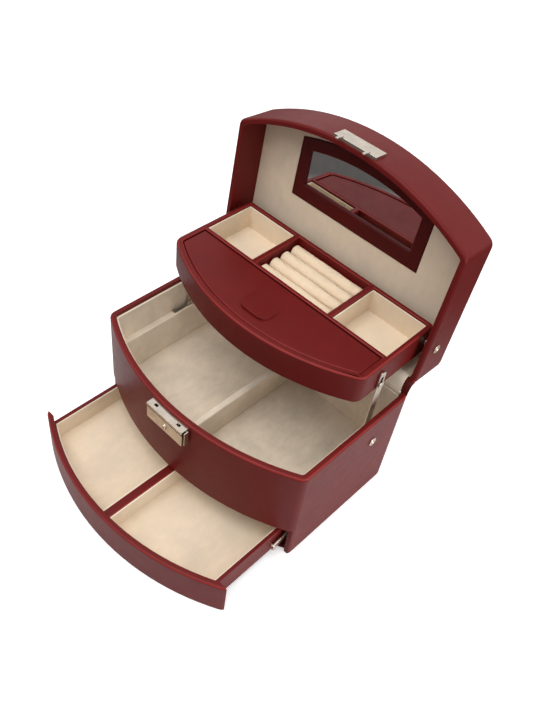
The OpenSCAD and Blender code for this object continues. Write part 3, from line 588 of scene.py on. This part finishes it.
# Each lining with its finish, the level of its top, the radius of its corners and its broken edges
LININGS = {
    "main_lining": ("shaded_case_velour", 106.5, 0, 0.4), "rear_lining": ("shaded_case_velour", 120, 0, 0.3),
    "tray_lining_left": ("velour", 164.3, 0, 0.3), "tray_lining_right": ("velour", 164.3, 0, 0.3),
    "drawer_lining_left": ("velour", 30, 4.5, 0.35), "drawer_lining_right": ("velour", 30, 4.5, 0.35)}
for node, (finish, top, radius, width) in LININGS.items():
    piece = copy_of(node)
    if radius:
        round_corners(piece, radius)
    soften(piece, width)
    dress(piece, *FINISHES[finish], node=node)
    # Painted highlight: the upward faces at the top get the paler velour.
    pale = paint(piece, painted_top_highlight_velour, lambda face: face.center.z > (top - PALE_BAND_MM) * MM
        and face.normal.z > 0.3)
    print(node, "pale faces:", pale)

# %% [markdown]
# ## Drawer body
# The drawer is a tray of board wrapped in leather, with round tops to its walls. Where it meets the
# linings its corners are round too, so a thin dark line shows between leather and cloth all the way.

# %% Dress the drawer body
piece = copy_of("drawer_box")
soften(piece, 1.1, steps=4)
dress(piece, red_leather, "red_leather", node="drawer_box")
# Painted highlight: the rounded tops of the walls get the lighter leather.
paint(piece, painted_highlight_leather, lambda face: face.center.z > DRAWER_WALL_HIGHLIGHT_MM * MM and
    slanted(face.normal.z))
print("drawer body faces:", len(piece.data.polygons))

# %% [markdown]
# ## Mirror and its padded frame
# The mirror lies in a rebate behind a padded band of leather, drawn with the darker leather as painted
# shade. Only the band's front edges are full and round, so they are picked by the flat front face, whose
# border is then bevelled in several steps.
# The glass is held a little more upright than the lid, and stays flat and sharp: a mirror with a bump or
# with smooth shading would bend what it shows.

# %% Build the mirror and the frame
PADDING_MM = 2.2
GLASS_LEAN = math.radians(1.3)
GLASS_FORWARD_MM = 0.6

frame_band = copy_of("mirror_frame")
pick(frame_band, lambda face: face.normal.y < -0.9)
bpy.ops.mesh.region_to_loop()
bpy.ops.mesh.bevel(offset=PADDING_MM * MM, segments=6, affect="EDGES", clamp_overlap=True)
bpy.ops.object.mode_set(mode="OBJECT")
dress(frame_band, dark_leather, "dark_leather", node="mirror_frame")

glass = copy_of("mirror_glass")
middle = sum((Vector(corner) for corner in glass.bound_box), Vector()) / 8
lowest = min(glass.data.vertices, key=lambda point: point.co.z + point.co.y)
number = lowest.index
before = lowest.co.copy()
pick(glass, lambda face: face.normal.y < -0.9)
bpy.ops.transform.rotate(value=-GLASS_LEAN, orient_axis="X", center_override=middle)
bpy.ops.transform.translate(value=(0, -GLASS_FORWARD_MM * MM, 0))
bpy.ops.object.mode_set(mode="OBJECT")
shift = glass.data.vertices[number].co - before
print("foot of the glass moved in mm:", [round(v / MM, 2) for v in shift])
dress(glass, silvered, "mirror", node="mirror_glass", smooth_angle=1)

# %% [markdown]
# ## Ring rolls
# Rings are held between rolls: velour sewn round a core of wadding and pressed side by side. Cloth
# pressed from inside makes the crowned form with tight ends, so one roll starts slimmer than the room
# it has, is blown up as cloth for twenty frames, and no point may move further than the cap. Blender's
# cloth starts out as stiff and as damped as suits a garment. On a roll 12 mm thick that holds the
# pressure back almost entirely, so both are set low here, and the swelling is printed to see that the
# cloth did move. The other three are copies of the first, each with its own mesh.

# %% Sew the rolls
ROLL_PITCH = 13.3125
FIRST_ROLL = (47.2 + ROLL_PITCH / 2, 156.0)
ROLL_RADIUS = 5.9
ROLL_HALF_LENGTH = 38.2
ROLL_CAP = 0.55 * MM
ROLL_VOXEL = 1.1 * MM
PRESSURE = 4
POINT_MASS = 0.001
SWELLING_FRAMES = 20
VELOUR_STIFFNESS = 0.4
VELOUR_DAMPING = 0.02

bpy.ops.object.select_all(action="DESELECT")
bpy.ops.mesh.primitive_cylinder_add(vertices=40, radius=ROLL_RADIUS * MM,
    depth=2 * ROLL_HALF_LENGTH * MM, rotation=(0, math.pi / 2, 0),
    location=(0, FIRST_ROLL[0] * MM, FIRST_ROLL[1] * MM))
roll = bpy.context.object
roll.name = roll.data.name = "ring_roll_1"
bpy.ops.object.transform_apply(location=True, rotation=True, scale=True)
soften(roll, 1.6, steps=4)
modify(roll, "REMESH", mode="VOXEL", voxel_size=ROLL_VOXEL)
slack = [point.co.copy() for point in roll.data.vertices]
cloth = roll.modifiers.new("cloth", "CLOTH")
cloth.settings.use_pressure = True
cloth.settings.uniform_pressure_force = PRESSURE
cloth.settings.mass = POINT_MASS
cloth.settings.effector_weights.gravity = 0
for pull in ("tension", "compression", "shear"):
    setattr(cloth.settings, f"{pull}_stiffness", VELOUR_STIFFNESS)
    setattr(cloth.settings, f"{pull}_damping", VELOUR_DAMPING)
for picture in range(1, SWELLING_FRAMES + 1):
    bpy.context.scene.frame_set(picture)
only(roll)
bpy.ops.object.modifier_apply(modifier="cloth")
moves = []
for point, start in zip(roll.data.vertices, slack):
    step = point.co - start
    if step.length > ROLL_CAP:
        point.co = start + step * (ROLL_CAP / step.length)
    moves.append(min(step.length, ROLL_CAP) / MM)
print("the cloth moved in mm, on average and at most:", round(sum(moves) / len(moves), 3),
    round(max(moves), 3))
bpy.context.scene.frame_set(1)
modify(roll, "SUBSURF", levels=1, render_levels=1)
rolls = [roll]
for turn in range(1, 4):
    only(roll)
    bpy.ops.object.duplicate(linked=False)
    twin = bpy.context.object
    twin.name = twin.data.name = f"ring_roll_{turn + 1}"
    twin.location.y += turn * ROLL_PITCH * MM
    rolls.append(twin)
for twin in rolls:
    dress(twin, roll_cloth, "roll_cloth", node="ring_rolls", body=BODY_OF["ring_rolls"], soft=True)

# %% [markdown]
# ## Tray, flap and tab
# The tray is board wrapped in leather with a flap, a second board, lying in its front. Two rounded edges
# meet in the groove between them. The groove's walls and the flap's sides get the darker leather as
# painted shade, and the rounded rims the lighter leather as a painted highlight, so the groove shows as
# a dark line between two bright ones. The tray's sharp top edges are picked and rounded. The flap's top
# is inset again and again, and each new face is raised a little less than the last, which draws the
# crown of a padded edge. The tab is a tongue of thinner leather: its root is let into the flap, its end
# is lifted to be gripped, and its front corners are nearly half round.

# %% Build the tray, the flap and the tab
RIM_ROUND_MM = 1.2
CROWN_STEPS_MM = ((0.5, 0.9), (0.5, 0.4), (0.6, 0.15))      # in and up
RIM_HIGHLIGHT_MM = 164.5
# The groove's walls round the flap get painted shade; they stand above a level, between two depths and
# inside a half-width
GROOVE_LEVEL_MM = 162.7
GROOVE_DEPTHS_MM = (-10, 44)
GROOVE_HALF_WIDTH_MM = 99

tray = copy_of("tray_shell")
tray_top = max(point.co.z for point in tray.data.vertices)
points = tray.data.vertices
sharp = sharp_edges(tray)
picked = pick(tray, lambda edge: edge.index in sharp and
    all(points[number].co.z > tray_top - 0.1 * MM for number in edge.vertices), "edges")
bpy.ops.mesh.bevel(offset=RIM_ROUND_MM * MM, segments=4, affect="EDGES", clamp_overlap=False)
bpy.ops.object.mode_set(mode="OBJECT")
dress(tray, red_leather, "red_leather", node="tray_shell")
# Painted highlight on the rounded rims, painted shade on the groove's walls.
polish_lines_and_painted_highlight = paint(tray, painted_highlight_leather, lambda face: face.center.z > RIM_HIGHLIGHT_MM * MM and
    slanted(face.normal.z))
paint(tray, dark_leather, lambda face: abs(face.normal.z) < 0.25 and
    face.center.z > GROOVE_LEVEL_MM * MM and
    GROOVE_DEPTHS_MM[0] * MM < face.center.y < GROOVE_DEPTHS_MM[1] * MM and
    abs(face.center.x) < GROOVE_HALF_WIDTH_MM * MM)
print("tray edges rounded:", picked, "rubbed faces:", polish_lines_and_painted_highlight)

flap = copy_of("tray_flap")
pick(flap, lambda face: face.normal.z > 0.99)
bpy.ops.transform.translate(value=(0, 0, -sum(up for _, up in CROWN_STEPS_MM) * MM))
for inward, up in CROWN_STEPS_MM:
    bpy.ops.mesh.inset(thickness=inward * MM, use_even_offset=True)
    bpy.ops.transform.translate(value=(0, 0, up * MM))
bpy.ops.object.mode_set(mode="OBJECT")
dress(flap, red_leather, "red_leather", node="tray_flap")
# Painted highlight on the flap's rounded edge, painted shade on its sides.
paint(flap, painted_highlight_leather, lambda face: slanted(face.normal.z) and face.normal.z > 0.5)
paint(flap, dark_leather, lambda face: abs(face.normal.z) < 0.25)

TAB_LOW, TAB_HIGH = (-15, -0.3, 165.5), (15, 26.7, 166.9)
TAB_CORNER_MM = 8.5
TAB_ROOT_SUNK_MM = 1.5
TAB_END_LIFTED_MM = 0.9
tab = box_piece("flap_tab_piece", TAB_LOW, TAB_HIGH)
round_corners(tab, TAB_CORNER_MM, where=lambda middle: middle.y < 0.01, steps=12)
points = tab.data.vertices
pick(tab, lambda edge: all(points[n].co.y > 26 * MM for n in edge.vertices), "edges")
bpy.ops.transform.translate(value=(0, 0, -TAB_ROOT_SUNK_MM * MM))
bpy.ops.object.mode_set(mode="OBJECT")
pick(tab, lambda edge: all(points[n].co.y < 1 * MM for n in edge.vertices), "edges")
bpy.ops.transform.translate(value=(0, 0, TAB_END_LIFTED_MM * MM))
bpy.ops.object.mode_set(mode="OBJECT")
soften(tab, 0.45, from_angle=50)
dress(tab, red_leather, "red_leather", node="flap_tab")
print("tab faces:", len(tab.data.polygons))

# %% [markdown]
# ## Eyelets
# Both ends of each lever turn on a hollow rivet, a short tube whose rim is rolled over on the outside of
# the wall. The solid has a plain round head, so its face is inset, pressed in, and the rims are rounded.

# %% Press the eyelets
EYELET_RIM_MM = 1.5
EYELET_DEPTH_MM = 0.9
OUTSIDE_WALL_MM = 116      # heads lie further out than this

for node in ("lever_pivot_left", "lever_pivot_right", "tray_pivot_left", "tray_pivot_right"):
    piece = copy_of(node)
    side = 1 if node.endswith("right") else -1
    count = pick(piece, lambda face: side * face.normal.x > 0.9 and
        side * face.center.x > OUTSIDE_WALL_MM * MM)
    bpy.ops.mesh.inset(thickness=EYELET_RIM_MM * MM)
    bpy.ops.mesh.extrude_region_move(
        TRANSFORM_OT_translate={"value": (-EYELET_DEPTH_MM * side * MM, 0, 0)})
    bpy.ops.object.mode_set(mode="OBJECT")
    soften(piece, 0.45)
    dress(piece, nickel, "nickel", node=node)
    print(node, "head faces:", count)

# %% [markdown]
# ## Latch housing
# The housing is folded from sheet: the top plate has a turned-down lip that stands over the front plate
# with a thin gap under it. Two cuts across the block mark the lip and the gap. The lip's front is drawn
# forward, and the gap's is pressed in.

# %% Fold the latch housing
LIP_LEVELS_MM = (101.9, 103.9)
LIP_OUT_MM = 0.45
GAP_IN_MM = 0.8
FRONT_PLATE_MM = -86            # the front plate's face lies further out than this
GAP_BACK_MM = (-85.5, -84)      # and the back of the gap lies between these


def in_front(face):
    """True for the faces of the front plate that look forward."""
    return face.normal.y < -0.9 and face.center.y < FRONT_PLATE_MM * MM


housing = copy_of("latch_housing")
for level in LIP_LEVELS_MM:
    cut_across(housing, level)
lip = pick(housing, lambda face: in_front(face) and face.center.z > LIP_LEVELS_MM[1] * MM)
bpy.ops.mesh.extrude_region_move(TRANSFORM_OT_translate={"value": (0, -LIP_OUT_MM * MM, 0)})
bpy.ops.object.mode_set(mode="OBJECT")
gap = pick(housing, lambda face: in_front(face) and LIP_LEVELS_MM[0] * MM < face.center.z
    < LIP_LEVELS_MM[1] * MM)
bpy.ops.mesh.extrude_region_move(TRANSFORM_OT_translate={"value": (0, GAP_IN_MM * MM, 0)})
bpy.ops.object.mode_set(mode="OBJECT")
soften(housing, 0.15, steps=2)
dress(housing, nickel, "nickel", node="latch_housing")
# Painted shadow: the back of the gap gets the near-black metal.
paint(housing, painted_gap_shadow, lambda face: face.normal.y < -0.5 and
    GAP_BACK_MM[0] * MM < face.center.y < GAP_BACK_MM[1] * MM)
print("lip and gap faces:", lip, gap)

# %% [markdown]
# ## Hinge cloth
# Between the back wall and the lid the lining runs on as a loose strip of velour that hides the hinge,
# and at both ends a gusset of leather does the same for the outside. Both are soft and cross the hinge.
# Each is drawn out along a curve from the case to the lid, and thickened. The curve keeps well in front
# of the hinge's axis.

# %% Hang the hinge cloth
CLOTH_PATH = smooth_path([(75.6, 110.4), (75.9, 112.5), (76.3, 117), (77.4, 121.4), (80, 124.5),
    (84, 125.1)])
GUSSET_PATH = smooth_path([(77.0, 108.0), (77.2, 111), (77.8, 114), (78.8, 117), (80.6, 119.6),
    (84, 120.6)])


def hang(name, low_x, high_x, path, material, slot, thickness_mm):
    piece = strip_along(name, low_x, high_x, path)
    modify(piece, "SOLIDIFY", thickness=thickness_mm * MM, offset=0)
    soften(piece, 0.2, steps=2, from_angle=50)
    dress(piece, material, slot, smooth_angle=50, soft=True)
    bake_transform(piece)


hang("hinge_velour", -107.6, 107.6, CLOTH_PATH, shaded_velour, "velour", 0.6)
# The gussets get the darker leather: painted shade in the hinge's gap.
hang("hinge_gusset_left", -114, -103.5, GUSSET_PATH, dark_leather, "dark_leather", 0.8)
hang("hinge_gusset_right", 103.5, 114, GUSSET_PATH, dark_leather, "dark_leather", 0.8)
